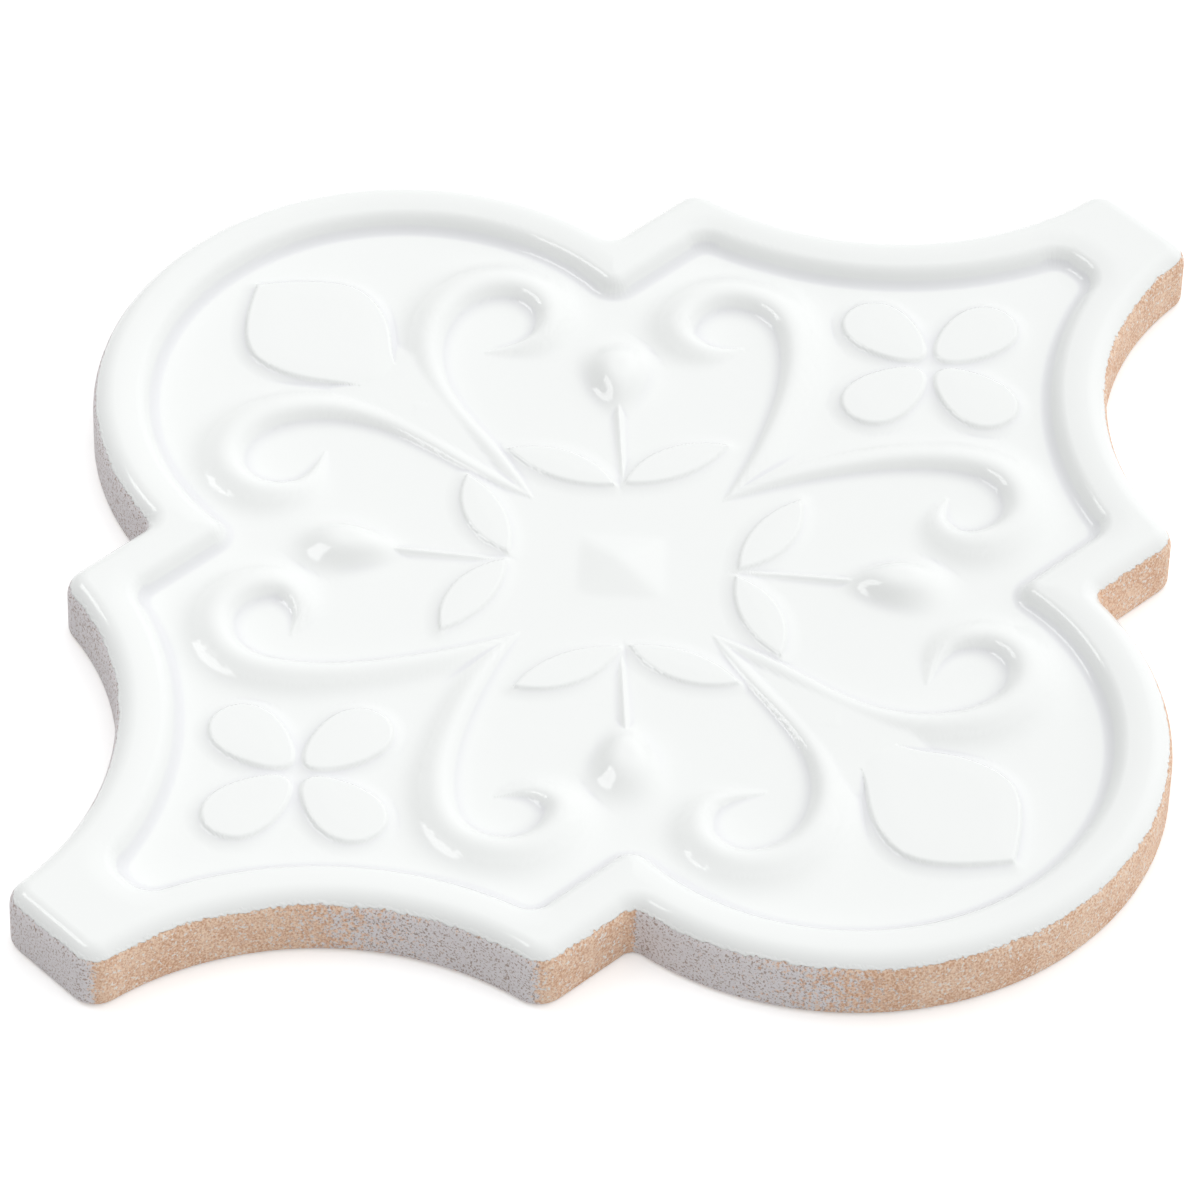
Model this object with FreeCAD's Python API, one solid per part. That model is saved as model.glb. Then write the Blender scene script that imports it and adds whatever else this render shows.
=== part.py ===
import FreeCAD, Part
import collections
import math
import os

# Arabesque wall tile with a moulded relief face: one pressed, glazed and fired piece of clay.
# Millimetres. The origin is the centre of the back face, +X runs through a side lobe,
# +Y through a tip and +Z out of the glazed face. Each motif is drawn once and mirrored.

Vector = FreeCAD.Vector
Plan = collections.namedtuple(
    "Plan", "lobe_radius shoulder_x bay_radius tip_y notch_round corner_round tip_round"
)

# Outline: round side lobes, straight shoulders, hollow bays that take a neighbour's lobe, flat tips
LOBE_CENTRE = Vector(42.5, 0, 0)
BAY_CENTRE = Vector(50.85, 99.6, 0)
OUTLINE = Plan(
    lobe_radius=42.2, shoulder_x=46.7, bay_radius=41.8, tip_y=100.0,
    notch_round=1.7, corner_round=3.9, tip_round=3.7,
)
THICKNESS = 9.3
FACE_EDGE_ROUND = 3.0
BACK_EDGE_ROUND = 0.7
LEVEL_TOLERANCE = 1e-4

# Sunk field inside the raised rim, at half the height of the rim's inner wall
FIELD = Plan(
    lobe_radius=34.8, shoulder_x=38.8, bay_radius=49.2, tip_y=86.3,
    notch_round=2.6, corner_round=3.2, tip_round=3.9,
)
FIELD_Z = 6.8
RIM_WALL_RUN = 2.6

# Relief heights above the field, and how far each motif is bedded below it
PLATEAU_HEIGHT = 0.9
PLATEAU_WALL_RUN = 0.9
SCROLL_HEIGHT = 1.6
BUD_HEIGHT = 2.2
STEM_HEIGHT = 0.6
BOSS_HEIGHT = 1.25
BEDDING = 0.3

# Sections of a ridge and of a bud: share of the half width at each share of the height
RIDGE_SECTION = [(0.62, 0.72), (0.16, 1.0)]
BUD_SECTION = [(0.78, 0.48), (0.52, 0.8), (0.22, 1.0)]
RIDGE_END_TAPER = 0.6

# A scroll's flanks, in half widths: steep toward the inside of its curl, wider outside
INNER_FLANK = 0.95
OUTER_FLANK = 1.4

# Points that carry an egg's smooth outline
EGG_POINTS = 12

# Four-petalled flower in each tip
FLOWER_Y = 57.4
PETAL_CENTRE = 8.4
PETAL_HALF_LENGTH = 6.6
PETAL_HALF_WIDTH = 4.35
PETAL_EGG = 0.26

# Pair of leaves at the foot of each bud stem: base, tip and the bulge of each edge
LEAVES = [
    ((11.0, 10.9), (7.1, 26.0), 2.3, -3.1),
    ((11.8, 9.6), (26.2, 3.8), -2.2, 3.0),
]
LEAF_END_RATIO = 1.6

# Drop-shaped leaf in each lobe, upper edge from its neck to its point
DROP_EDGE = [
    (44.0, 2.4), (49.3, 3.9), (54.0, 7.2), (58.0, 9.1), (62.6, 9.6), (67.6, 6.6), (72.8, 0.0),
]
DROP_CENTRE = Vector(60.0, 0, 0)
DROP_HALF_WIDTH = 9.6

# Plain web between the two lobe scrolls
WEB_EDGE = [(25.0, 0.0), (38.0, 3.6), (46.0, 6.6), (50.0, 4.2)]

# Ridges: centre line points with the half width at each
TIP_SCROLL = [
    (-0.8, 16.4, 0.0), (1.6, 25.5, 1.6), (6.0, 35.0, 2.3), (13.0, 44.8, 2.9), (22.4, 49.6, 3.3),
    (28.9, 45.9, 3.5), (30.0, 41.0, 3.5), (26.9, 36.2, 3.0), (22.3, 37.0, 1.8), (19.8, 40.8, 0.0),
]
LOBE_SCROLL = [
    (14.8, -0.8, 0.0), (27.0, 2.0, 1.4), (38.0, 3.9, 2.0), (46.4, 7.5, 2.8), (52.0, 14.4, 3.4),
    (52.9, 20.6, 3.6), (48.7, 26.7, 3.5), (42.8, 26.7, 3.1), (39.5, 22.2, 2.2), (42.4, 14.8, 0.0),
]
STEM = [(11.2, 10.8, 0.0), (18.4, 17.0, 0.9), (25.6, 23.2, 0.0)]

# Egg-shaped bud at the end of each stem
BUD_CENTRE = Vector(27.0, 24.7, 0)
BUD_TURN = 43
BUD_HALF_LENGTH = 6.4
BUD_HALF_WIDTH = 4.3
BUD_EGG = 0.26

# Low pyramid at the middle of the tile
BOSS_HALF_DIAGONAL = 7.5


def leg(long_side, short_side):
    """Third side of a right triangle, from its longest side and one other."""
    return math.sqrt(long_side ** 2 - short_side ** 2)


def toward(centre, point, radius):
    """Point on a circle about centre, on the way to another point."""
    return centre + (point - centre).normalize() * radius


def shrunk(plan, by):
    """The same outline moved inward by one distance, with its corner centres kept."""
    return Plan(
        plan.lobe_radius - by, plan.shoulder_x - by, plan.bay_radius + by, plan.tip_y - by,
        plan.notch_round + by, plan.corner_round - by, plan.tip_round - by,
    )


def mirrored(point, side_x, side_y):
    """A first-quarter point in the quarter with the given signs."""
    return Vector(point.x * side_x, point.y * side_y, point.z)


def arc(start, middle, end):
    return Part.Arc(start, middle, end).toShape()


def round_edge(centre, start, end):
    """Start, middle and end of an arc about a centre, by the short way."""
    middle = toward(centre, (start + end) * 0.5, (start - centre).Length)
    return start, middle, end


def plan_wire(plan, height):
    """Closed outline at one height: lobe, notch, shoulder, corner, bay and tip, mirrored four ways."""
    notch = Vector(plan.shoulder_x + plan.notch_round, 0, 0)
    notch.y = leg(plan.lobe_radius + plan.notch_round, notch.x - LOBE_CENTRE.x)
    corner = Vector(plan.shoulder_x - plan.corner_round, 0, 0)
    corner.y = BAY_CENTRE.y - leg(plan.bay_radius + plan.corner_round, BAY_CENTRE.x - corner.x)
    tip = Vector(0, plan.tip_y - plan.tip_round, 0)
    tip.x = BAY_CENTRE.x - leg(plan.bay_radius + plan.tip_round, BAY_CENTRE.y - tip.y)

    lobe_end = toward(LOBE_CENTRE, notch, plan.lobe_radius)
    shoulder_low = Vector(plan.shoulder_x, notch.y, 0)
    shoulder_high = Vector(plan.shoulder_x, corner.y, 0)
    bay_low = toward(BAY_CENTRE, corner, plan.bay_radius)
    bay_high = toward(BAY_CENTRE, tip, plan.bay_radius)
    tip_end = Vector(tip.x, plan.tip_y, 0)
    lobe_point = LOBE_CENTRE + Vector(plan.lobe_radius, 0, 0)
    rounds = [
        round_edge(notch, lobe_end, shoulder_low),
        round_edge(corner, shoulder_high, bay_low),
        round_edge(BAY_CENTRE, bay_low, bay_high),
        round_edge(tip, bay_high, tip_end),
    ]

    edges = []
    lobe = (mirrored(lobe_end, 1, -1), lobe_point, lobe_end)
    for side in (1, -1):
        edges.append(arc(*(mirrored(p, side, 1) for p in lobe)))
        edges.append(Part.makeLine(mirrored(tip_end, 1, side), mirrored(tip_end, -1, side)))
    for side_x in (1, -1):
        for side_y in (1, -1):
            edges += [arc(*(mirrored(p, side_x, side_y) for p in points)) for points in rounds]
            shoulder = (mirrored(p, side_x, side_y) for p in (shoulder_low, shoulder_high))
            edges.append(Part.makeLine(*shoulder))
    wire = Part.Wire(Part.__sortEdges__(edges))
    wire.translate(Vector(0, 0, height))
    return wire


def level_edges(shape, height):
    """Edges of a shape that lie wholly at one height."""
    def level(edge):
        return max(abs(edge.BoundBox.ZMin - height), abs(edge.BoundBox.ZMax - height)) < LEVEL_TOLERANCE

    return [edge for edge in shape.Edges if level(edge)]


def blank():
    """Tile body before its relief: the outline at full thickness with its face and back edges rounded."""
    body = Part.Face(plan_wire(OUTLINE, 0)).extrude(Vector(0, 0, THICKNESS))
    body = body.makeFillet(FACE_EDGE_ROUND, level_edges(body, THICKNESS))
    return body.makeFillet(BACK_EDGE_ROUND, level_edges(body, 0))


def field_cut():
    """Tool for the sunk field, its sides sloping in from the rim down to the field."""
    slope = RIM_WALL_RUN / (THICKNESS - FIELD_Z)
    middle = (THICKNESS + FIELD_Z) / 2
    top = THICKNESS + BEDDING
    wires = [plan_wire(shrunk(FIELD, (middle - z) * slope), z) for z in (FIELD_Z, top)]
    return Part.makeLoft(wires, True, True)


def plateau(outline):
    """Flat-topped motif with sloping sides; outline(shrink) gives its closed edges at field level."""
    slope = PLATEAU_WALL_RUN / PLATEAU_HEIGHT
    wires = []
    for height in (-BEDDING, PLATEAU_HEIGHT):
        wire = Part.Wire(outline((height - PLATEAU_HEIGHT / 2) * slope))
        wire.translate(Vector(0, 0, FIELD_Z + height))
        wires.append(wire)
    return Part.makeLoft(wires, True, True)


def egg(half_length, half_width, fullness):
    """Closed egg outline about the origin, fuller toward +X."""
    points = []
    for step in range(EGG_POINTS):
        turn = 2 * math.pi * step / EGG_POINTS
        across = half_width * math.sin(turn) * (1 + fullness * math.cos(turn))
        points.append(Vector(half_length * math.cos(turn), across, 0))
    line = Part.BSplineCurve()
    line.interpolate(Points=points, PeriodicFlag=True)
    return line.toShape()


def petal(turn):
    """Egg-shaped petal out from the flower's middle."""
    def outline(shrink):
        edge = egg(PETAL_HALF_LENGTH - shrink, PETAL_HALF_WIDTH - shrink, PETAL_EGG)
        edge.translate(Vector(PETAL_CENTRE, 0, 0))
        return [edge]

    solid = plateau(outline)
    solid.rotate(Vector(0, 0, 0), Vector(0, 0, 1), turn)
    solid.translate(Vector(0, FLOWER_Y, 0))
    return solid


def leaf(base, tip, left_bulge, right_bulge):
    """Pointed leaf between two arcs; a bulge is an edge's distance left of the straight line."""
    base, tip = Vector(*base), Vector(*tip)
    along = (tip - base).normalize()
    across = Vector(-along.y, along.x, 0)

    def outline(shrink):
        start = base + along * (shrink * LEAF_END_RATIO)
        end = tip - along * (shrink * LEAF_END_RATIO)
        middle = (start + end) * 0.5
        sides = [middle + across * (b - math.copysign(shrink, b)) for b in (left_bulge, right_bulge)]
        return [arc(start, sides[0], end), arc(end, sides[1], start)]

    return plateau(outline)


def curve(points):
    """Smooth curve through the given points."""
    line = Part.BSplineCurve()
    line.interpolate(points)
    return line


def drop():
    """Drop-shaped leaf, mirrored about the lobe's axis, with a square neck under the web."""
    def outline(shrink):
        share = 1 - shrink / DROP_HALF_WIDTH
        upper = [DROP_CENTRE + (Vector(*p) - DROP_CENTRE) * share for p in DROP_EDGE]
        lower = [mirrored(p, 1, -1) for p in upper]
        neck = Part.makeLine(lower[0], upper[0])
        return [neck, curve(upper).toShape(), curve(lower[::-1]).toShape()]

    return plateau(outline)


def web():
    """Flat web between the two scrolls of a lobe, whose sides lie under the scrolls."""
    points = [Vector(*p) for p in WEB_EDGE] + [Vector(x, -y, 0) for x, y in WEB_EDGE[:0:-1]]
    face = Part.Face(Part.makePolygon(points + points[:1]))
    face.translate(Vector(0, 0, FIELD_Z - BEDDING))
    return face.extrude(Vector(0, 0, BEDDING + PLATEAU_HEIGHT))


def ridge(path, height, left_flank=1, right_flank=1):
    """Rounded ridge along a centre line: bands that narrow as they rise, pulled in at both pointed ends."""
    points = [Vector(x, y, 0) for x, y, half_width in path]
    half_widths = [half_width for x, y, half_width in path]
    line = curve(points)
    across = []
    for point in points:
        along = line.tangent(line.parameter(point))[0]
        across.append(Vector(-along.y, along.x, 0))

    foot_share, foot_rise = RIDGE_SECTION[0]
    below = 1 + (1 - foot_share) * BEDDING / (foot_rise * height)
    wires = []
    for share, rise in [(below, -BEDDING / height)] + RIDGE_SECTION:
        centres = list(points)
        pull = (1 - share) * RIDGE_END_TAPER
        centres[0] = points[0] + (points[1] - points[0]) * pull
        centres[-1] = points[-1] + (points[-2] - points[-1]) * pull
        reach = [a * (w * share) for a, w in zip(across, half_widths)]
        left = [c + r * left_flank for c, r in zip(centres, reach)]
        right = [c - r * right_flank for c, r in zip(centres, reach)]
        wire = Part.Wire([curve(left).toShape(), curve(right[::-1]).toShape()])
        wire.translate(Vector(0, 0, FIELD_Z + rise * height))
        wires.append(wire)
    return Part.makeLoft(wires, True, True)


def bud():
    """Egg-shaped dome in bands that narrow as they rise, its fuller end outward."""
    foot_share, foot_rise = BUD_SECTION[0]
    below = 1 + (1 - foot_share) * BEDDING / (foot_rise * BUD_HEIGHT)
    wires = []
    for share, rise in [(below, -BEDDING / BUD_HEIGHT)] + BUD_SECTION:
        wire = Part.Wire(egg(BUD_HALF_LENGTH * share, BUD_HALF_WIDTH * share, BUD_EGG))
        wire.rotate(Vector(0, 0, 0), Vector(0, 0, 1), BUD_TURN)
        wire.translate(BUD_CENTRE + Vector(0, 0, FIELD_Z + rise * BUD_HEIGHT))
        wires.append(wire)
    return Part.makeLoft(wires, True, True)


def boss():
    """Low four-sided pyramid with its corners on the tile's axes."""
    reach = BOSS_HALF_DIAGONAL * (1 + BEDDING / BOSS_HEIGHT)
    corners = [Vector(reach, 0, 0), Vector(0, reach, 0), Vector(-reach, 0, 0), Vector(0, -reach, 0)]
    top = Vector(0, 0, BEDDING + BOSS_HEIGHT)
    pairs = zip(corners, corners[1:] + corners[:1])
    sides = [Part.Face(Part.makePolygon([a, b, top, a])) for a, b in pairs]
    base = Part.Face(Part.makePolygon(corners[::-1] + corners[-1:]))
    solid = Part.Solid(Part.Shell(sides + [base]))
    solid.translate(Vector(0, 0, FIELD_Z - BEDDING))
    return solid


def mirror_copies(solid, across_x, across_y):
    """A solid with its mirror images across the tile's X and Y axes, as asked."""
    copies = [solid]
    if across_x:
        copies += [c.mirror(Vector(0, 0, 0), Vector(0, 1, 0)) for c in copies]
    if across_y:
        copies += [c.mirror(Vector(0, 0, 0), Vector(1, 0, 0)) for c in copies]
    return copies


def motifs():
    """Every raised motif of the field."""
    solids = [boss()]
    for turn in (0, 90, 180, 270):
        solids += mirror_copies(petal(turn), True, False)
    for one in [leaf(*sizes) for sizes in LEAVES]:
        solids += mirror_copies(one, True, True)
    for one in (drop(), web()):
        solids += mirror_copies(one, False, True)
    tip_scroll = ridge(TIP_SCROLL, SCROLL_HEIGHT, OUTER_FLANK, INNER_FLANK)
    lobe_scroll = ridge(LOBE_SCROLL, SCROLL_HEIGHT, INNER_FLANK, OUTER_FLANK)
    for one in (tip_scroll, lobe_scroll, ridge(STEM, STEM_HEIGHT), bud()):
        solids += mirror_copies(one, True, True)
    return solids


def tile():
    body = blank().cut(field_cut())
    body = body.fuse(motifs())
    return body.removeSplitter()


os.makedirs("parts", exist_ok=True)
tile().exportStep("parts/tile.step")
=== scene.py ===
import collections
import math

import bpy
import numpy as np
from mathutils import Matrix, Vector
from mathutils.geometry import delaunay_2d_cdt


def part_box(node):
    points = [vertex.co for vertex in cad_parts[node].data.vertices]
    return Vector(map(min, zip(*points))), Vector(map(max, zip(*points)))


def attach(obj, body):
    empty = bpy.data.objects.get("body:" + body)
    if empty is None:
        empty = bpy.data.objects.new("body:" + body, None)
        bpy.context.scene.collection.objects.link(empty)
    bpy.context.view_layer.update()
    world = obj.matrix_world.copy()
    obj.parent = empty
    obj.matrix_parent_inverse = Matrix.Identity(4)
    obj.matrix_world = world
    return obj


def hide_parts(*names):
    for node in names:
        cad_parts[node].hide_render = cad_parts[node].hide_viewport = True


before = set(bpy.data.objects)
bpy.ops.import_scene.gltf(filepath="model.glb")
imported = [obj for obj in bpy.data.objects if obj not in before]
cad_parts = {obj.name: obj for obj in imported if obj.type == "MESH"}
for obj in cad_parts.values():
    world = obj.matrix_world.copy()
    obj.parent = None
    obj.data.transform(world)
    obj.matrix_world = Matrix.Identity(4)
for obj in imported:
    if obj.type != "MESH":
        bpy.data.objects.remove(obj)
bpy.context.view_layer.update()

# Arabesque wall tile: a pressed clay body with a moulded relief face under a glossy white glaze.
# Sizes are millimetres in the part's own frame, and become metres where a mesh is made.
MILLIMETRE = 0.001
Plan = collections.namedtuple(
    "Plan", "lobe_radius shoulder_x bay_radius tip_y notch_round corner_round tip_round"
)

# Outline, as the solid has it
LOBE_CENTRE = np.array([42.5, 0.0])
BAY_CENTRE = np.array([50.85, 99.6])
OUTLINE = Plan(
    lobe_radius=42.2, shoulder_x=46.7, bay_radius=41.8, tip_y=100.0,
    notch_round=1.7, corner_round=3.9, tip_round=3.7,
)
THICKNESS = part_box("tile")[1][2] / MILLIMETRE
FACE_EDGE_ROUND = 3.0
BACK_EDGE_ROUND = 0.7

# Sunk field inside the raised rim, at half the height of the rim's inner wall
FIELD = Plan(
    lobe_radius=34.8, shoulder_x=38.8, bay_radius=49.2, tip_y=86.3,
    notch_round=2.6, corner_round=3.2, tip_round=3.9,
)
FIELD_Z = 6.8

# Rim: its inner wall's reach about the field's outline and rounding, its soft slope's reach and share
RIM_WALL = (-1.7, 1.6)
RIM_ROUND = 1.6
RIM_CROWN = (-4.3, 1.6)
RIM_CROWN_SHARE = 0.27

# Flat-topped motifs: the steep step's reach about the outline, the glazed foot outside it, the soft top
PLATEAU_STEP = (-0.35, 0.35)
FOOT_REACH = 2.3
FOOT_SHARE = 0.58
TOP_REACH = 3.0
TOP_SHARE = 0.08
PETAL_HEIGHT = 0.95
LEAF_HEIGHT = 0.75
DROP_HEIGHT = 1.05

# Four-petalled flower in each tip: every petal is an egg, with a soft fillet where the feet of two meet
FLOWER_Y = 57.4
PETAL_CENTRE = 8.4
PETAL_HALF_LENGTH = 6.6
PETAL_HALF_WIDTH = 4.35
PETAL_EGG = 0.26
PETAL_FILLET = 0.65
PETAL_POINTS = 90

# Pair of leaves at the foot of each bud stem: base, tip and the bulge of each edge
LEAVES = [
    ((11.0, 10.9), (7.1, 26.0), 2.3, -3.1),
    ((11.8, 9.6), (26.2, 3.8), -2.2, 3.0),
]

# Drop-shaped leaf in each lobe: its upper edge from the neck to the point
DROP_EDGE = [
    (38.0, 2.0), (44.0, 2.4), (49.3, 3.9), (54.0, 7.2),
    (58.0, 9.1), (62.6, 9.6), (67.6, 6.6), (72.8, 0.0),
]

# Web between a lobe's two scrolls: upper edge, that edge's reach, where along X it rises and fades
WEB_EDGE = [(17.0, 0.0), (27.0, 2.0), (38.0, 3.9), (46.6, 7.3), (53.0, 14.0)]
WEB_WALL = (-1.4, 0.2)
WEB_RISE = (18.0, 44.0)
WEB_FADE = (47.0, 54.0)

# Ridges: points of the centre line, each with the half width there
TIP_SCROLL = [
    (-0.8, 16.4, 0.0), (1.6, 25.5, 1.6), (6.0, 35.0, 2.3), (13.0, 44.8, 2.9), (22.4, 49.6, 3.3),
    (28.9, 45.9, 3.5), (30.0, 41.0, 3.5), (26.9, 36.2, 3.0), (22.3, 37.0, 1.8), (19.8, 40.8, 0.3),
]
LOBE_SCROLL = [
    (14.8, -0.8, 0.0), (27.0, 2.0, 1.4), (38.0, 3.9, 2.0), (46.4, 7.5, 2.8), (52.0, 14.4, 3.4),
    (52.9, 20.6, 3.6), (48.7, 26.7, 3.5), (42.8, 26.7, 3.1), (39.5, 22.2, 2.2), (42.4, 14.8, 0.3),
]
STEM = [(11.2, 10.8, 0.3), (18.4, 17.0, 0.65), (25.6, 23.2, 0.8)]

# A ridge's height, the half width at which it has that height, and the power of its section
SCROLL_HEIGHT = 1.9
SCROLL_FULL_WIDTH = 3.4
SCROLL_POWER = 2.2
STEM_HEIGHT = 0.6
STEM_FULL_WIDTH = 0.8
STEM_POWER = 1.6

# How a narrowing ridge's crest sinks, and the least half width
CREST_TAPER = 1.25
LEAST_HALF_WIDTH = 0.02

# A ridge's flanks in half widths, steeper inside a curl, and how far from the crest they differ in full
INNER_FLANK = 0.68
OUTER_FLANK = 1.05
CREST_BLEND = 0.8

# Egg-shaped bud: its middle, the way its blunt end points, and its dome
BUD_CENTRE = (27.0, 24.7)
BUD_TURN = 43.0
BUD_HALF_LENGTH = 6.4
BUD_HALF_WIDTH = 4.3
BUD_EGG = 0.26
BUD_EGG_REACH = 1.5
BUD_HEIGHT = 2.3
BUD_SHARE = 0.84
BUD_POWER = 3.0

# Low pyramid at the middle of the tile, with the softness of its arrises and of its foot
BOSS_HALF_DIAGONAL = 7.5
BOSS_HEIGHT = 1.25
BOSS_SOFTNESS = 0.12
BOSS_FOOT_SOFTNESS = 0.01

# Power of the soft maximum that joins the motifs
SOFT_MAXIMUM_POWER = 12.0

# How far round a ridge's own box it is worked out, and the depth of a place that is farther from a motif
RIDGE_REACH = 9.0
FAR_FROM_MOTIF = -9.0

# Mesh: spacing of points along the outline, on the finest parts of the face and along curves, least counts
LOOP_STEP = 0.62
FACE_STEP = 0.25
CURVE_STEP = 0.3
LEAST_ARC_POINTS = 3
LEAST_LINE_POINTS = 2

# Bend of the face, in slope per millimetre, above which points are kept at every one, two or four steps
FINE_BEND = 0.9
MEDIUM_BEND = 0.16
LOW_BEND = 0.035

# Rings of points round the face edge, down the wall with both its ends, and round the back edge
FACE_EDGE_RINGS = 9
WALL_RINGS = 5
BACK_EDGE_RINGS = 4

# How far a quarter of a loop runs past the axes, the step over which a slope is taken, and a tiny length
QUARTER_OVERLAP = 1.0
SLOPE_STEP = 0.03
TINY = 1e-6

# Kind of triangulation that fills the inside of a loop and nothing else
FILL_INSIDE = 1

# Spread over which the face is averaged to find its hollows, where the glaze is given painted shade
HOLLOW_SPREAD = 0.5

# Painted shade that greys the clay on the sides facing away from the light: the way those sides face, and
# the facing at which it starts and is full
SHADE_SIDE_TOWARD = np.array([-0.5, -0.866])
SHADE_SIDE_FACING = (-0.25, 0.80)

# Glaze line on the side: how far below the rim's top, its softness, and the lip's start and end above it
GLAZE_DROP = 1.4
GLAZE_LINE_SOFTNESS = 0.05
LIP_START = 0.45
LIP_FULL = 0.1

# Noise that makes the glaze line ragged: cells per metre, and reach in millimetres
FINE_RAGGED_SCALE = 1500.0
FINE_RAGGED_REACH = 0.9
BROAD_RAGGED_SCALE = 160.0
BROAD_RAGGED_REACH = 0.7
NOISE_MIDDLE = 0.5

# Noises of the clay and of the glaze: cells per metre, detail and roughness
SAND = (3200.0, 2.0, 0.65)
GRIT = (1700.0, 3.0, 0.7)
CLOUD = (220.0, 2.0, 0.5)
RIPPLE = (240.0, 1.0)

# Clay: its dark and light, the noise range between them and the clouds' share in it, and its pale grains
CLAY_DARK = (0.69, 0.385, 0.23, 1)
CLAY_LIGHT = (0.98, 0.76, 0.59, 1)
CLAY_RANGE = (0.34, 0.64)
CLOUD_SHARE = 0.2
GRAIN_PALE = (0.96, 0.90, 0.85, 1)
GRAIN_RANGE = (0.55, 0.65)

# Painted shade on the clay's sides: its pits and its grey, the noise range between them, and the grain and
# range of its edge
SHADE_SIDE_PIT = (0.46, 0.36, 0.32, 1)
SHADE_SIDE_GREY = (0.86, 0.825, 0.84, 1)
SHADE_SIDE_PIT_RANGE = (0.36, 0.48)
SHADE_SIDE_GRAIN = 2.0
SHADE_SIDE_RANGE = (0.30, 0.70)

# Glaze: white, and greyer in the hollows as painted shade, with the hollow's range between them in
# millimetres
GLAZE_WHITE = (0.905, 0.922, 0.913, 1)
GLAZE_HOLLOW_SHADE = (0.835, 0.845, 0.862, 1)
GLAZE_HOLLOW_SHADE_RANGE = (0.008, 0.10)

# Finish: the clay's roughness, what the glaze takes off it, and heights of the bump in millimetres
CLAY_ROUGHNESS = 0.85
GLAZE_SMOOTHING = 0.755
SAND_HEIGHT = 0.16
GLAZE_HEIGHT = 0.1
LIP_HEIGHT = 0.06
RIPPLE_HEIGHT = 0.02

# Sockets of the colour mix node: factor, first and second colour, and result
MIX_FACTOR, MIX_FIRST, MIX_SECOND, MIX_RESULT = 0, 6, 7, 2

# Camera in metres: the photograph's own viewing place, aim, roll and field of view
CAMERA_PLACE = (0.52939, -0.52197, 0.73977)
CAMERA_AIM = (-0.00226, -0.00168, 0.0)
CAMERA_ROLL = 1.728
CAMERA_VIEW_DEGREES = 8.6916

# Floor disc in metres, just below the tile's back, its own colour and the light it gives where it is seen
FLOOR_RADIUS = 3.0
FLOOR_SIDES = 96
FLOOR_GAP = 0.0002
FLOOR_COLOUR = (0.86, 0.86, 0.86, 1)
FLOOR_LIFT = (0.36, 0.36, 0.36, 1)

# Dome of light: the way it brightens, its dim and its bright strength, and the range of facing between them
DOME_POLE = (0.15, 0.46, 0.875)
DOME_STRENGTH = (0.08, 1.36)
DOME_RAMP = (-0.07, 1.0)

# Long soft box at the left: place and size in metres, roll in degrees, power in watts
BOX_PLACE = (-0.66, -0.38, 0.93)
BOX_LENGTH = 0.75
BOX_WIDTH = 0.26
BOX_ROLL = 51.0
BOX_POWER = 2.1

# Plain colours
BLACK = (0, 0, 0, 1)
WHITE = (1, 1, 1, 1)


def smooth_step(value, low, high):
    """0 below low, 1 above high, and 3t^2 - 2t^3 between, with t the share of the way."""
    share = np.clip((value - low) / (high - low), 0.0, 1.0)
    return share * share * (3 - 2 * share)


def rounded_ramp(value, low, high, rounding):
    """0 below low, 1 above high, and straight between but for a parabola of one length at each end."""
    up = np.clip(value - low, 0, high - low)
    start = np.maximum(rounding - up, 0) ** 2
    end = np.maximum(rounding - (high - low - up), 0) ** 2
    return (up - rounding / 2 + (start - end) / (2 * rounding)) / (high - low - rounding)


def leg(long_side, short_side):
    """Third side of a right triangle, from its longest side and one other."""
    return math.sqrt(long_side ** 2 - short_side ** 2)


def angle_to(centre, point):
    """Angle of the ray from a centre to a point."""
    return math.atan2(point[1] - centre[1], point[0] - centre[0])


def arc_run(centre, radius, start, end, hollow=False):
    """Points and outward normals round an arc, centre + radius (cos a, sin a), without the last point."""
    count = max(LEAST_ARC_POINTS, math.ceil(abs(end - start) * radius / LOOP_STEP))
    angle = start + (end - start) * np.arange(count) / count
    ray = np.stack([np.cos(angle), np.sin(angle)], axis=1)
    return np.asarray(centre) + radius * ray, -ray if hollow else ray


def line_run(start, end, normal):
    """Points and outward normals along a straight line, without the last point."""
    start, end = np.array(start), np.array(end)
    count = max(LEAST_LINE_POINTS, math.ceil(np.linalg.norm(end - start) / LOOP_STEP))
    share = np.arange(count)[:, None] / count
    return start + (end - start) * share, np.tile(np.array(normal, float), (count, 1))


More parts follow.
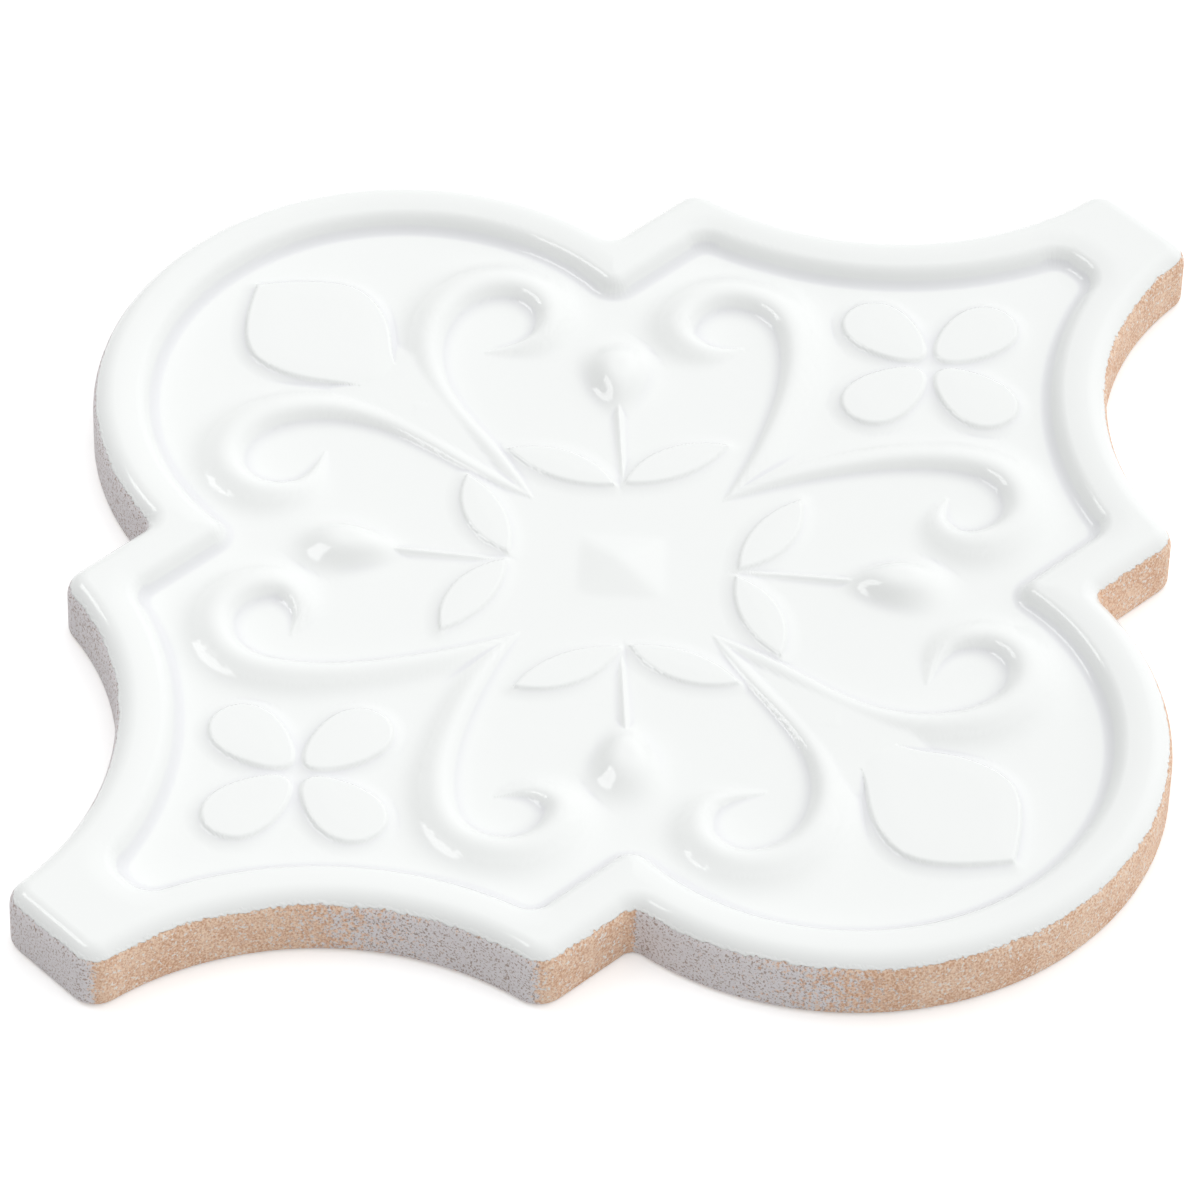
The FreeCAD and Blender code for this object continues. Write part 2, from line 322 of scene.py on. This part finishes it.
def plan_loop(plan):
    """Closed loop of points with outward normals.

    One quarter runs from the lobe's point to the middle of the tip: lobe arc, notch arc, straight
    shoulder, corner arc, hollow bay arc, tip corner arc and half the flat tip, each tangent to the
    next. The loop is that quarter mirrored in both axes.
    """
    notch_x = plan.shoulder_x + plan.notch_round
    notch = (notch_x, leg(plan.lobe_radius + plan.notch_round, notch_x - LOBE_CENTRE[0]))
    corner_x = plan.shoulder_x - plan.corner_round
    reach = leg(plan.bay_radius + plan.corner_round, BAY_CENTRE[0] - corner_x)
    corner = (corner_x, BAY_CENTRE[1] - reach)
    tip_y = plan.tip_y - plan.tip_round
    reach = leg(plan.bay_radius + plan.tip_round, BAY_CENTRE[1] - tip_y)
    tip = (BAY_CENTRE[0] - reach, tip_y)

    full_turn = 2 * math.pi
    lobe_end = angle_to(LOBE_CENTRE, notch)
    bay_start = angle_to(BAY_CENTRE, corner) + full_turn
    bay_end = angle_to(BAY_CENTRE, tip) + full_turn
    runs = [
        arc_run(LOBE_CENTRE, plan.lobe_radius, 0, lobe_end),
        arc_run(notch, plan.notch_round, lobe_end + math.pi, math.pi, hollow=True),
        line_run((plan.shoulder_x, notch[1]), (plan.shoulder_x, corner[1]), (1, 0)),
        arc_run(corner, plan.corner_round, 0, angle_to(corner, BAY_CENTRE)),
        arc_run(BAY_CENTRE, plan.bay_radius, bay_start, bay_end, hollow=True),
        arc_run(tip, plan.tip_round, angle_to(tip, BAY_CENTRE), math.pi / 2),
        line_run((tip[0], plan.tip_y), (0, plan.tip_y), (0, 1)),
        (np.array([[0.0, plan.tip_y]]), np.array([[0.0, 1.0]])),
    ]
    quarter = [np.concatenate(arrays) for arrays in zip(*runs)]
    flip_x, flip_y = np.array([-1.0, 1.0]), np.array([1.0, -1.0])
    half = [np.concatenate([part, part[-2::-1] * flip_x]) for part in quarter]
    return [np.concatenate([part, part[-2:0:-1] * flip_y]) for part in half]


def first_quarter(loop):
    """The points of a loop in the first quarter and just past its axes, in order of bearing."""
    ordered = loop[np.argsort(np.arctan2(loop[:, 1], loop[:, 0]))]
    return ordered[(ordered > -QUARTER_OVERLAP).all(1)]


def reach_toward(quarter, x, y):
    """Distance from the tile's middle to a quarter of a loop, in the direction of each place."""
    return np.interp(np.arctan2(y, x), np.arctan2(quarter[:, 1], quarter[:, 0]), np.hypot(*quarter.T))


def smooth_curve(points):
    """Natural cubic spline through points of any number of coordinates, against chord length.

    The second derivatives solve the usual tridiagonal system, with none at the two ends.
    """
    points = np.array(points, float)
    gap = np.linalg.norm(np.diff(points[:, :2], axis=0), axis=1)
    knots = np.concatenate([[0], np.cumsum(gap)])
    system = np.eye(len(points))
    right = np.zeros_like(points)
    rise = np.diff(points, axis=0) / gap[:, None]
    for i in range(1, len(points) - 1):
        system[i, i - 1:i + 2] = gap[i - 1], 2 * (gap[i - 1] + gap[i]), gap[i]
        right[i] = 6 * (rise[i] - rise[i - 1])
    bend = np.linalg.solve(system, right)
    place = np.linspace(0, knots[-1], math.ceil(knots[-1] / CURVE_STEP) + 1)
    span = np.clip(np.searchsorted(knots, place, side="right") - 1, 0, len(gap) - 1)
    width = gap[span][:, None]
    after = (place - knots[span])[:, None] / width
    before = 1 - after
    curve = before * points[span] + after * points[span + 1]
    lift = (before ** 3 - before) * bend[span] + (after ** 3 - after) * bend[span + 1]
    return curve + lift * width ** 2 / 6


def bow(start, end, bulge):
    """Points from start to end round the arc whose middle stands bulge to the left of the chord."""
    start, end = np.array(start), np.array(end)
    chord = end - start
    length = np.linalg.norm(chord)
    half_angle = 2 * math.atan2(2 * abs(bulge), length)
    radius = length / 2 / math.sin(half_angle)
    angle = np.linspace(-half_angle, half_angle, math.ceil(length / CURVE_STEP))[:, None]
    across = np.array([-chord[1], chord[0]]) / length * math.copysign(1, bulge)
    rise = radius * (np.cos(angle) - math.cos(half_angle))
    return (start + end) / 2 + chord / length * radius * np.sin(angle) + across * rise


def from_segments(line, place):
    """Distance from each place to each segment of an open polyline, the share along it, and the side.

    The side is 1 to the left of a segment, -1 to its right, and between them round its ends.
    """
    start, step = line[:-1, :2], np.diff(line[:, :2], axis=0)
    away = place[:, None] - start
    share = np.clip((away * step).sum(2) / np.maximum((step * step).sum(1), TINY ** 2), 0, 1)
    distance = np.linalg.norm(away - share[..., None] * step, axis=2)
    area = step[:, 0] * away[..., 1] - step[:, 1] * away[..., 0]
    lateral = area / np.maximum(np.hypot(*step.T), TINY)
    return distance, share, lateral / np.maximum(distance, TINY)


def distance_to(line, place):
    """Distance from each place to an open polyline."""
    return from_segments(line, place)[0].min(1)


def near(line, x, y, reach):
    """Mask of the places within reach of a line's own box."""
    low, high = line[:, :2].min(0) - reach, line[:, :2].max(0) + reach
    return (x > low[0]) & (x < high[0]) & (y > low[1]) & (y < high[1])


def depth_inside(loop, x, y):
    """Distance to a closed loop, positive inside, which is where an odd count of edges lies to the right."""
    depth = np.full(x.shape, FAR_FROM_MOTIF)
    mask = near(loop, x, y, -FAR_FROM_MOTIF)
    place = np.stack([x[mask], y[mask]], axis=1)
    closed = np.concatenate([loop, loop[:1]])
    start, end = closed[:-1], closed[1:]
    above = (start[:, 1] > place[:, None, 1]) != (end[:, 1] > place[:, None, 1])
    climb = np.where(end[:, 1] == start[:, 1], 1.0, end[:, 1] - start[:, 1])
    crossing = start[:, 0] + (place[:, None, 1] - start[:, 1]) * ((end[:, 0] - start[:, 0]) / climb)
    inside = (above & (place[:, None, 0] < crossing)).sum(1) % 2 == 1
    depth[mask] = distance_to(closed, place) * np.where(inside, 1, -1)
    return depth


def joined(depths, fillet):
    """Depth inside any of several outlines, filleted where they meet: f log(sum of e^(d/f))."""
    return fillet * np.logaddexp.reduce([depth / fillet for depth in depths])


def plateau(depth, height):
    """Flat-topped motif over its depth inside an outline.

    A steep step about the outline, a parabolic foot outside it where the glaze gathers, and a slightly
    crowned top share the height.
    """
    step = smooth_step(depth, *PLATEAU_STEP)
    foot = np.clip(1 + depth / FOOT_REACH, 0, 1) ** 2
    top = smooth_step(depth, 0, TOP_REACH)
    return height * ((1 - FOOT_SHARE - TOP_SHARE) * step + FOOT_SHARE * foot + TOP_SHARE * top)


def ridge(path, height, full_width, power, x, y, inner_side=0):
    """Rounded ridge: the highest, over its centre line, of crest times exp(-q^power).

    q is the distance over the flank's width, which goes from the mean of both flanks at the crest to
    INNER_FLANK half widths on the inner side of a curl and OUTER_FLANK on the other. The crest is lower
    where the ridge is narrower than its full width.
    """
    line = smooth_curve(path)
    lift = np.zeros(x.shape)
    mask = near(line, x, y, RIDGE_REACH)
    distance, share, side = from_segments(line, np.stack([x[mask], y[mask]], axis=1))
    width = np.maximum(line[:-1, 2] * (1 - share) + line[1:, 2] * share, LEAST_HALF_WIDTH)
    lean = side * inner_side * np.minimum(distance / (CREST_BLEND * width), 1)
    flank = (INNER_FLANK + OUTER_FLANK) / 2 + (INNER_FLANK - OUTER_FLANK) / 2 * lean
    crest = height * np.minimum(width / full_width, 1) ** CREST_TAPER
    lift[mask] = (crest * np.exp(-(distance / (width * flank)) ** power)).max(1)
    return lift


def scroll(path, x, y, inner_side):
    """Ridge of a scroll, whose curl's inner side is its left at 1 and its right at -1."""
    return ridge(path, SCROLL_HEIGHT, SCROLL_FULL_WIDTH, SCROLL_POWER, x, y, inner_side)


def bud(x, y):
    """Egg-shaped dome: height times exp(-(r / share)^power), with r 1 on the egg's outline."""
    cosine, sine = math.cos(math.radians(BUD_TURN)), math.sin(math.radians(BUD_TURN))
    away_x, away_y = x - BUD_CENTRE[0], y - BUD_CENTRE[1]
    along = (cosine * away_x + sine * away_y) / BUD_HALF_LENGTH
    across = (cosine * away_y - sine * away_x) / BUD_HALF_WIDTH
    ratio = np.hypot(along, across / (1 + BUD_EGG * np.clip(along, -BUD_EGG_REACH, BUD_EGG_REACH)))
    return BUD_HEIGHT * np.exp(-(ratio / BUD_SHARE) ** BUD_POWER)


def flower_depth(x, y):
    """Depth inside the flower's four petals.

    Each is an egg out from the flower's middle: centre + half length cos t along it, and half width
    sin t (1 + egg cos t) across it.
    """
    turn = np.linspace(0, 2 * math.pi, PETAL_POINTS, endpoint=False)
    along = PETAL_CENTRE + PETAL_HALF_LENGTH * np.cos(turn)
    across = PETAL_HALF_WIDTH * np.sin(turn) * (1 + PETAL_EGG * np.cos(turn))
    petals = [
        np.stack(outline, axis=1) for outline in (
            (along, FLOWER_Y + across), (-along, FLOWER_Y + across),
            (across, FLOWER_Y + along), (across, FLOWER_Y - along),
        )
    ]
    return joined([depth_inside(petal, x, y) for petal in petals], PETAL_FILLET)


def mirrored_loop(edge):
    """Closed loop of an upper edge and its mirror image below the lobe's axis."""
    return np.concatenate([edge, edge[::-1] * [1, -1]])


def drop_and_web(x, y):
    """The higher of the lobe's drop-shaped leaf and of the web between the scrolls that leads to it.

    The web is the leaf's height times a smooth step over its own edge, times a smooth step up along X,
    times 1 less a smooth step where it fades.
    """
    drop = depth_inside(mirrored_loop(smooth_curve(DROP_EDGE)), x, y)
    web = depth_inside(mirrored_loop(np.array(WEB_EDGE)), x, y)
    along = smooth_step(x, *WEB_RISE) * (1 - smooth_step(x, *WEB_FADE))
    level = DROP_HEIGHT * smooth_step(web, *WEB_WALL) * along
    return np.maximum(plateau(drop, DROP_HEIGHT), level)


def leaf(base, tip, left_bulge, right_bulge, x, y):
    """Flat-topped pointed leaf between two arcs."""
    loop = np.concatenate([bow(base, tip, left_bulge), bow(base, tip, right_bulge)[-2:0:-1]])
    return plateau(depth_inside(loop, x, y), LEAF_HEIGHT)


def boss(x, y):
    """Low pyramid: height falls evenly with |x| + |y|, and soft roots round its arrises and its foot."""
    soft = BOSS_SOFTNESS * BOSS_HALF_DIAGONAL
    fall = np.sqrt(x * x + soft * soft) + np.sqrt(y * y + soft * soft) - soft
    rise = 1 - fall / BOSS_HALF_DIAGONAL
    return BOSS_HEIGHT * (rise + np.sqrt(rise * rise + BOSS_FOOT_SOFTNESS)) / 2


def face_height(x, y):
    """Height of the glazed face over a place in the first quarter.

    The field lies below the rim by a wall about the field's outline, and the rim's top slopes a little
    to that wall; the motifs on the field join by the soft maximum (sum of h^p)^(1/p).
    """
    edge = first_quarter(plan_loop(FIELD)[0])
    sign = np.where(np.hypot(x, y) < reach_toward(edge, x, y), 1, -1)
    depth = distance_to(edge, np.stack([x, y], axis=1)) * sign
    wall = rounded_ramp(depth, *RIM_WALL, RIM_ROUND)
    sunk = wall + (smooth_step(depth, *RIM_CROWN) - wall) * RIM_CROWN_SHARE

    reliefs = [boss(x, y), plateau(flower_depth(x, y), PETAL_HEIGHT), drop_and_web(x, y)]
    reliefs += [leaf(*sizes, x, y) for sizes in LEAVES]
    reliefs += [scroll(TIP_SCROLL, x, y, -1), scroll(LOBE_SCROLL, x, y, 1)]
    reliefs += [ridge(STEM, STEM_HEIGHT, STEM_FULL_WIDTH, STEM_POWER, x, y), bud(x, y)]
    total = sum(np.maximum(relief, 0) ** SOFT_MAXIMUM_POWER for relief in reliefs)
    motifs = total ** (1 / SOFT_MAXIMUM_POWER)
    return THICKNESS - (THICKNESS - FIELD_Z - motifs) * sunk


def spread_weights(count):
    """Rows of Gaussian weights that average a line of grid values, mirrored at its first value."""
    place = np.arange(count) * FACE_STEP / HOLLOW_SPREAD
    direct = np.exp(-(place[:, None] - place) ** 2 / 2)
    mirrored = np.exp(-(place[:, None] + place) ** 2 / 2) * (place > 0)
    weights = direct + mirrored
    return weights / weights.sum(1, keepdims=True)


def widened(values):
    """Each grid value raised to the highest of itself and its eight neighbours."""
    for axis in (0, 1):
        values = np.maximum(values, np.maximum(np.roll(values, 1, axis), np.roll(values, -1, axis)))
    return values


def face_points(loop):
    """Points of the face inside a loop: three coordinates, three of the upward normal, and the hollow.

    A square grid over the first quarter is thinned to every second, fourth or eighth point where the
    face bends little, then mirrored in both axes. A normal is (-dz/dx, -dz/dy, 1) brought to length 1.
    The hollow is the face's Gaussian average less its own height; it greys the glaze there as painted shade.
    """
    reach = loop.max(0)
    xs = np.arange(0, reach[0], FACE_STEP)
    ys = np.arange(0, reach[1], FACE_STEP)
    grid_x, grid_y = np.meshgrid(xs, ys, indexing="ij")
    height = face_height(grid_x.ravel(), grid_y.ravel()).reshape(grid_x.shape)
    hollow = spread_weights(len(xs)) @ height @ spread_weights(len(ys)).T - height
    slope_x, slope_y = np.gradient(height, FACE_STEP)
    bend = np.hypot(*np.gradient(slope_x, FACE_STEP)) + np.hypot(*np.gradient(slope_y, FACE_STEP))
    near_bend = widened(bend)
    far_bend = widened(near_bend)
    column, row = np.indices(grid_x.shape)
    bent = [near_bend > FINE_BEND, far_bend > MEDIUM_BEND, far_bend > LOW_BEND]
    stride = np.select(bent, [1, 2, 4], 8)
    kept = (column % stride == 0) & (row % stride == 0)

    edge = first_quarter(loop)
    kept &= np.hypot(grid_x, grid_y) < reach_toward(edge, grid_x, grid_y)
    place = np.stack([grid_x[kept], grid_y[kept]], axis=1)
    clear = distance_to(edge, place) > LOOP_STEP / 2
    x, y = place[clear].T
    z, hollow = height[kept][clear], hollow[kept][clear]

    slope_x = np.where(x > 0, (face_height(x + SLOPE_STEP, y) - z) / SLOPE_STEP, 0)
    slope_y = np.where(y > 0, (face_height(x, y + SLOPE_STEP) - z) / SLOPE_STEP, 0)
    normal = np.stack([-slope_x, -slope_y, np.ones_like(z)], axis=1)
    normal /= np.linalg.norm(normal, axis=1)[:, None]
    corner = np.column_stack([x, y, z, normal, hollow])
    half = np.concatenate([corner, corner[x > 0] * [-1, 1, 1, -1, 1, 1, 1]])
    return np.concatenate([half, half[half[:, 1] > 0] * [1, -1, 1, 1, -1, 1, 1]])


def triangles(loop, inner):
    """Delaunay triangles that fill a loop through the inner points, as indices into loop then inner."""
    flat = [Vector(point) for point in np.concatenate([loop, inner]).tolist()]
    found = delaunay_2d_cdt(flat, [], [list(range(len(loop)))], FILL_INSIDE, TINY)
    assert len(found[0]) == len(flat)
    return np.array(found[2])


def side_profile():
    """Inset, height and the normal's turn from level, down the side.

    Quarter round of the face edge, straight wall, small back round.
    """
    face_turn = np.linspace(math.pi / 2, 0, FACE_EDGE_RINGS)
    back_turn = np.linspace(0, -math.pi / 2, BACK_EDGE_RINGS)
    wall_z = np.linspace(THICKNESS - FACE_EDGE_ROUND, BACK_EDGE_ROUND, WALL_RINGS)[1:-1]
    level = 0 * wall_z
    face_inset = FACE_EDGE_ROUND * (1 - np.cos(face_turn))
    back_inset = BACK_EDGE_ROUND * (1 - np.cos(back_turn))
    face_z = THICKNESS - FACE_EDGE_ROUND * (1 - np.sin(face_turn))
    back_z = BACK_EDGE_ROUND * (1 + np.sin(back_turn))
    return (
        np.concatenate([face_inset, level, back_inset]),
        np.concatenate([face_z, wall_z, back_z]),
        np.concatenate([face_turn, level, back_turn]),
    )


def tile_mesh():
    """The whole tile as one closed mesh: relief face, side carried round the outline, flat back.

    Each ring of the side is the outline less the profile's inset along the outward normal, and its normal
    is (cos t outward, sin t) with t the profile's turn.
    """
    outline, outward = plan_loop(OUTLINE)
    inset, height, turn = side_profile()
    count, rings = len(outline), len(inset)
    ring_plan = outline[None] - inset[:, None, None] * outward[None]
    ring_z = np.broadcast_to(height[:, None, None], (rings, count, 1))
    sides = np.concatenate([ring_plan, ring_z], axis=2).reshape(-1, 3)
    level = np.cos(turn)[:, None, None] * outward[None]
    lift = np.broadcast_to(np.sin(turn)[:, None, None], (rings, count, 1))
    side_normal = np.concatenate([level, lift], axis=2).reshape(-1, 3)

    inner = face_points(ring_plan[0])
    face = triangles(ring_plan[0], inner[:, :2])
    face = np.where(face < count, face, face + len(sides) - count)

    ring, place = np.meshgrid(np.arange(rings - 1) * count, np.arange(count), indexing="ij")
    following = (place + 1) % count
    below = ring + count
    wall = np.stack([ring + place, below + place, below + following, ring + following], axis=-1)
    back = triangles(ring_plan[-1], np.zeros((0, 2)))[:, ::-1] + (rings - 1) * count

    points = np.concatenate([sides, inner[:, :3]]) * MILLIMETRE
    mesh = bpy.data.meshes.new("tile_glazed")
    mesh.from_pydata(points.tolist(), [], face.tolist() + wall.reshape(-1, 4).tolist() + back.tolist())
    mesh.polygons.foreach_set("use_smooth", np.ones(len(mesh.polygons), bool))
    mesh.normals_split_custom_set_from_vertices(np.concatenate([side_normal, inner[:, 3:6]]).tolist())

    on_side, on_face = np.zeros(len(sides)), np.zeros(len(inner))
    # Painted shade on the sides facing away from the light, fading to none at the back
    side_shade = np.cos(turn)[:, None] * smooth_step(outward @ SHADE_SIDE_TOWARD, *SHADE_SIDE_FACING)
    values = {
        "drop": np.concatenate([THICKNESS - sides[:, 2], on_face]),
        "side_shade": np.concatenate([side_shade.ravel(), on_face]),
        "hollow": np.concatenate([on_side, inner[:, 6]]),
    }
    for name, value in values.items():
        layer = mesh.attributes.new(name, "FLOAT", "POINT")
        layer.data.foreach_set("value", value.astype(np.float32))
    mesh.update()
    return mesh


class Wire:
    """A shader socket in an expression: its operators add Math nodes."""

    def __init__(self, tree, socket):
        self.tree = tree
        self.socket = socket

    def node(self, kind, settings, inputs, output=0):
        """Adds a node of a kind, sets its settings, then fills or links its sockets."""
        made = self.tree.nodes.new(kind)
        for name, value in settings.items():
            setattr(made, name, value)
        for key, value in inputs.items():
            if isinstance(value, Wire):
                self.tree.links.new(value.socket, made.inputs[key])
            else:
                made.inputs[key].default_value = value
        return Wire(self.tree, made.outputs[output])

    def math(self, operation, *values):
        return self.node("ShaderNodeMath", {"operation": operation}, dict(enumerate(values)))

    def __add__(self, other):
        return self.math("ADD", self, other)

    def __sub__(self, other):
        return self.math("SUBTRACT", self, other)

    def __rsub__(self, other):
        return self.math("SUBTRACT", other, self)

    def __mul__(self, other):
        return self.math("MULTIPLY", self, other)

    __radd__ = __add__
    __rmul__ = __mul__

    def ramp(self, low, high, start=0.0, end=1.0):
        """Smooth change from start at low to end at high."""
        return self.node("ShaderNodeMapRange", {"interpolation_type": "SMOOTHSTEP"}, {
            "Value": self, "From Min": low, "From Max": high, "To Min": start, "To Max": end,
        })

    def mix(self, first, second):
        """Colour between two colours, by this value."""
        return self.node("ShaderNodeMix", {"data_type": "RGBA"}, {
            MIX_FACTOR: self, MIX_FIRST: first, MIX_SECOND: second,
        }, MIX_RESULT)

    def noise(self, scale, detail=2.0, roughness=0.5):
        """Noise of about 0 to 1 on this position, with scale in cells per metre."""
        return self.node("ShaderNodeTexNoise", {"normalize": True}, {
            "Vector": self, "Scale": scale, "Detail": detail, "Roughness": roughness,
        })


def glazed_clay():
    """White glaze over the face and its rolled edge, with bare sandy clay below a ragged glaze line; painted
    shade greys the glaze in the hollows and the clay on the sides facing -Y.
    """
    material = bpy.data.materials.new("glazed_clay")
    material.use_nodes = True
    tree = material.node_tree
    shader = tree.nodes["Principled BSDF"]
    place = Wire(tree, tree.nodes.new("ShaderNodeTexCoord").outputs["Object"])
    drop, side_shade, hollow = [
        place.node("ShaderNodeAttribute", {"attribute_name": name}, {}, "Fac")
        for name in ("drop", "side_shade", "hollow")
    ]

    fine = (place.noise(FINE_RAGGED_SCALE) - NOISE_MIDDLE) * FINE_RAGGED_REACH
    broad = (place.noise(BROAD_RAGGED_SCALE) - NOISE_MIDDLE) * BROAD_RAGGED_REACH
    line = drop + (fine + broad)
    glaze = line.ramp(GLAZE_DROP - GLAZE_LINE_SOFTNESS, GLAZE_DROP + GLAZE_LINE_SOFTNESS, 1.0, 0.0)
    lip = line.ramp(GLAZE_DROP - LIP_START, GLAZE_DROP - LIP_FULL)

    sand = place.noise(*SAND)
    grit = place.noise(*GRIT)
    tone = sand * (1 - CLOUD_SHARE) + place.noise(*CLOUD) * CLOUD_SHARE
    clay = tone.ramp(*CLAY_RANGE).mix(CLAY_DARK, CLAY_LIGHT)
    clay = grit.ramp(*GRAIN_RANGE).mix(clay, GRAIN_PALE)
    # Painted shade: a grey with pits laid over the clay on the sides facing away from the light
    side_shade_colour = sand.ramp(*SHADE_SIDE_PIT_RANGE).mix(SHADE_SIDE_PIT, SHADE_SIDE_GREY)
    side_shade_cover = (side_shade + (grit - NOISE_MIDDLE) * SHADE_SIDE_GRAIN).ramp(*SHADE_SIDE_RANGE)
    clay = side_shade_cover.mix(clay, side_shade_colour)
    # Painted shade: the glaze is greyed in the face's hollows, at the feet of walls and in creases
    white = hollow.ramp(*GLAZE_HOLLOW_SHADE_RANGE).mix(GLAZE_WHITE, GLAZE_HOLLOW_SHADE)
    colour = glaze.mix(clay, white)

    ripple = place.noise(*RIPPLE) * RIPPLE_HEIGHT
    relief = (1 - glaze) * sand * SAND_HEIGHT + glaze * (GLAZE_HEIGHT + LIP_HEIGHT * lip + ripple)
    bump = place.node("ShaderNodeBump", {}, {"Strength": 1.0, "Distance": MILLIMETRE, "Height": relief})
    tree.links.new(colour.socket, shader.inputs["Base Color"])
    tree.links.new((CLAY_ROUGHNESS - glaze * GLAZE_SMOOTHING).socket, shader.inputs["Roughness"])
    tree.links.new(bump.socket, shader.inputs["Normal"])
    return material


def make_tile():
    """The tile, on the part's only body and in place of its solid."""
    tile = bpy.data.objects.new("tile_glazed", tile_mesh())
    bpy.context.scene.collection.objects.link(tile)
    tile.data.materials.append(glazed_clay())
    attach(tile, "root")
    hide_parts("tile")


def seen_rays(tree):
    """1 for the rays that show a background, which are the camera's, mirrored and refracted ones."""
    path = tree.nodes.new("ShaderNodeLightPath")
    camera, glossy, through = [
        Wire(tree, path.outputs[name])
        for name in ("Is Camera Ray", "Is Glossy Ray", "Is Transmission Ray")
    ]
    total = camera + glossy + through
    return total.math("MINIMUM", total, 1.0)


def make_floor():
    """Plain white floor disc under the tile, lifted to white where it is seen while it keeps the shadow."""
    angle = np.linspace(0, 2 * math.pi, FLOOR_SIDES, endpoint=False)
    level = np.full(FLOOR_SIDES, -FLOOR_GAP)
    rim = np.stack([FLOOR_RADIUS * np.cos(angle), FLOOR_RADIUS * np.sin(angle), level], axis=1)
    mesh = bpy.data.meshes.new("floor")
    mesh.from_pydata(rim.tolist(), [], [list(range(FLOOR_SIDES))])
    floor = bpy.data.objects.new("floor", mesh)
    bpy.context.scene.collection.objects.link(floor)
    material = bpy.data.materials.new("floor_white")
    material.use_nodes = True
    tree = material.node_tree
    shader = tree.nodes["Principled BSDF"]
    shader.inputs["Base Color"].default_value = FLOOR_COLOUR
    shader.inputs["Roughness"].default_value = 1.0
    shader.inputs["Emission Strength"].default_value = 1.0
    tree.links.new(seen_rays(tree).mix(BLACK, FLOOR_LIFT).socket, shader.inputs["Emission Color"])
    floor.data.materials.append(material)


def make_dome():
    """Soft dome of light, brighter toward DOME_POLE, and plain white where it is seen."""
    world = bpy.data.worlds.new("studio")
    world.use_nodes = True
    tree = world.node_tree
    background = tree.nodes["Background"]
    toward = Wire(tree, tree.nodes.new("ShaderNodeTexCoord").outputs["Generated"])
    rise = toward.node("ShaderNodeVectorMath", {"operation": "DOT_PRODUCT"}, {
        0: toward, 1: DOME_POLE,
    }, "Value")
    light = rise.ramp(*DOME_RAMP, *DOME_STRENGTH)
    strength = light + seen_rays(tree) * (1 - light)
    background.inputs["Color"].default_value = WHITE
    tree.links.new(strength.socket, background.inputs["Strength"])
    bpy.context.scene.world = world


def aimed(place, aim, roll):
    """Matrix of a thing at a place that looks at its aim, rolled about that line by some degrees."""
    turn = (Vector(aim) - Vector(place)).to_track_quat("-Z", "Y").to_matrix().to_4x4()
    return Matrix.Translation(place) @ turn @ Matrix.Rotation(math.radians(roll), 4, "Z")


def make_soft_box():
    """Long soft box at the left, aimed at the tile's middle."""
    data = bpy.data.lights.new("left_box", "AREA")
    data.shape = "RECTANGLE"
    data.size = BOX_LENGTH
    data.size_y = BOX_WIDTH
    data.energy = BOX_POWER
    lamp = bpy.data.objects.new("left_box", data)
    bpy.context.scene.collection.objects.link(lamp)
    lamp.matrix_world = aimed(BOX_PLACE, (0, 0, 0), BOX_ROLL)


def make_camera():
    """Camera at the photograph's viewing angle."""
    data = bpy.data.cameras.new("camera")
    data.sensor_fit = "AUTO"
    data.angle = math.radians(CAMERA_VIEW_DEGREES)
    camera = bpy.data.objects.new("camera", data)
    bpy.context.scene.collection.objects.link(camera)
    camera.matrix_world = aimed(CAMERA_PLACE, CAMERA_AIM, CAMERA_ROLL)
    bpy.context.scene.camera = camera


make_tile()
make_floor()
make_dome()
make_soft_box()
make_camera()
bpy.context.scene.view_settings.view_transform = "Standard"
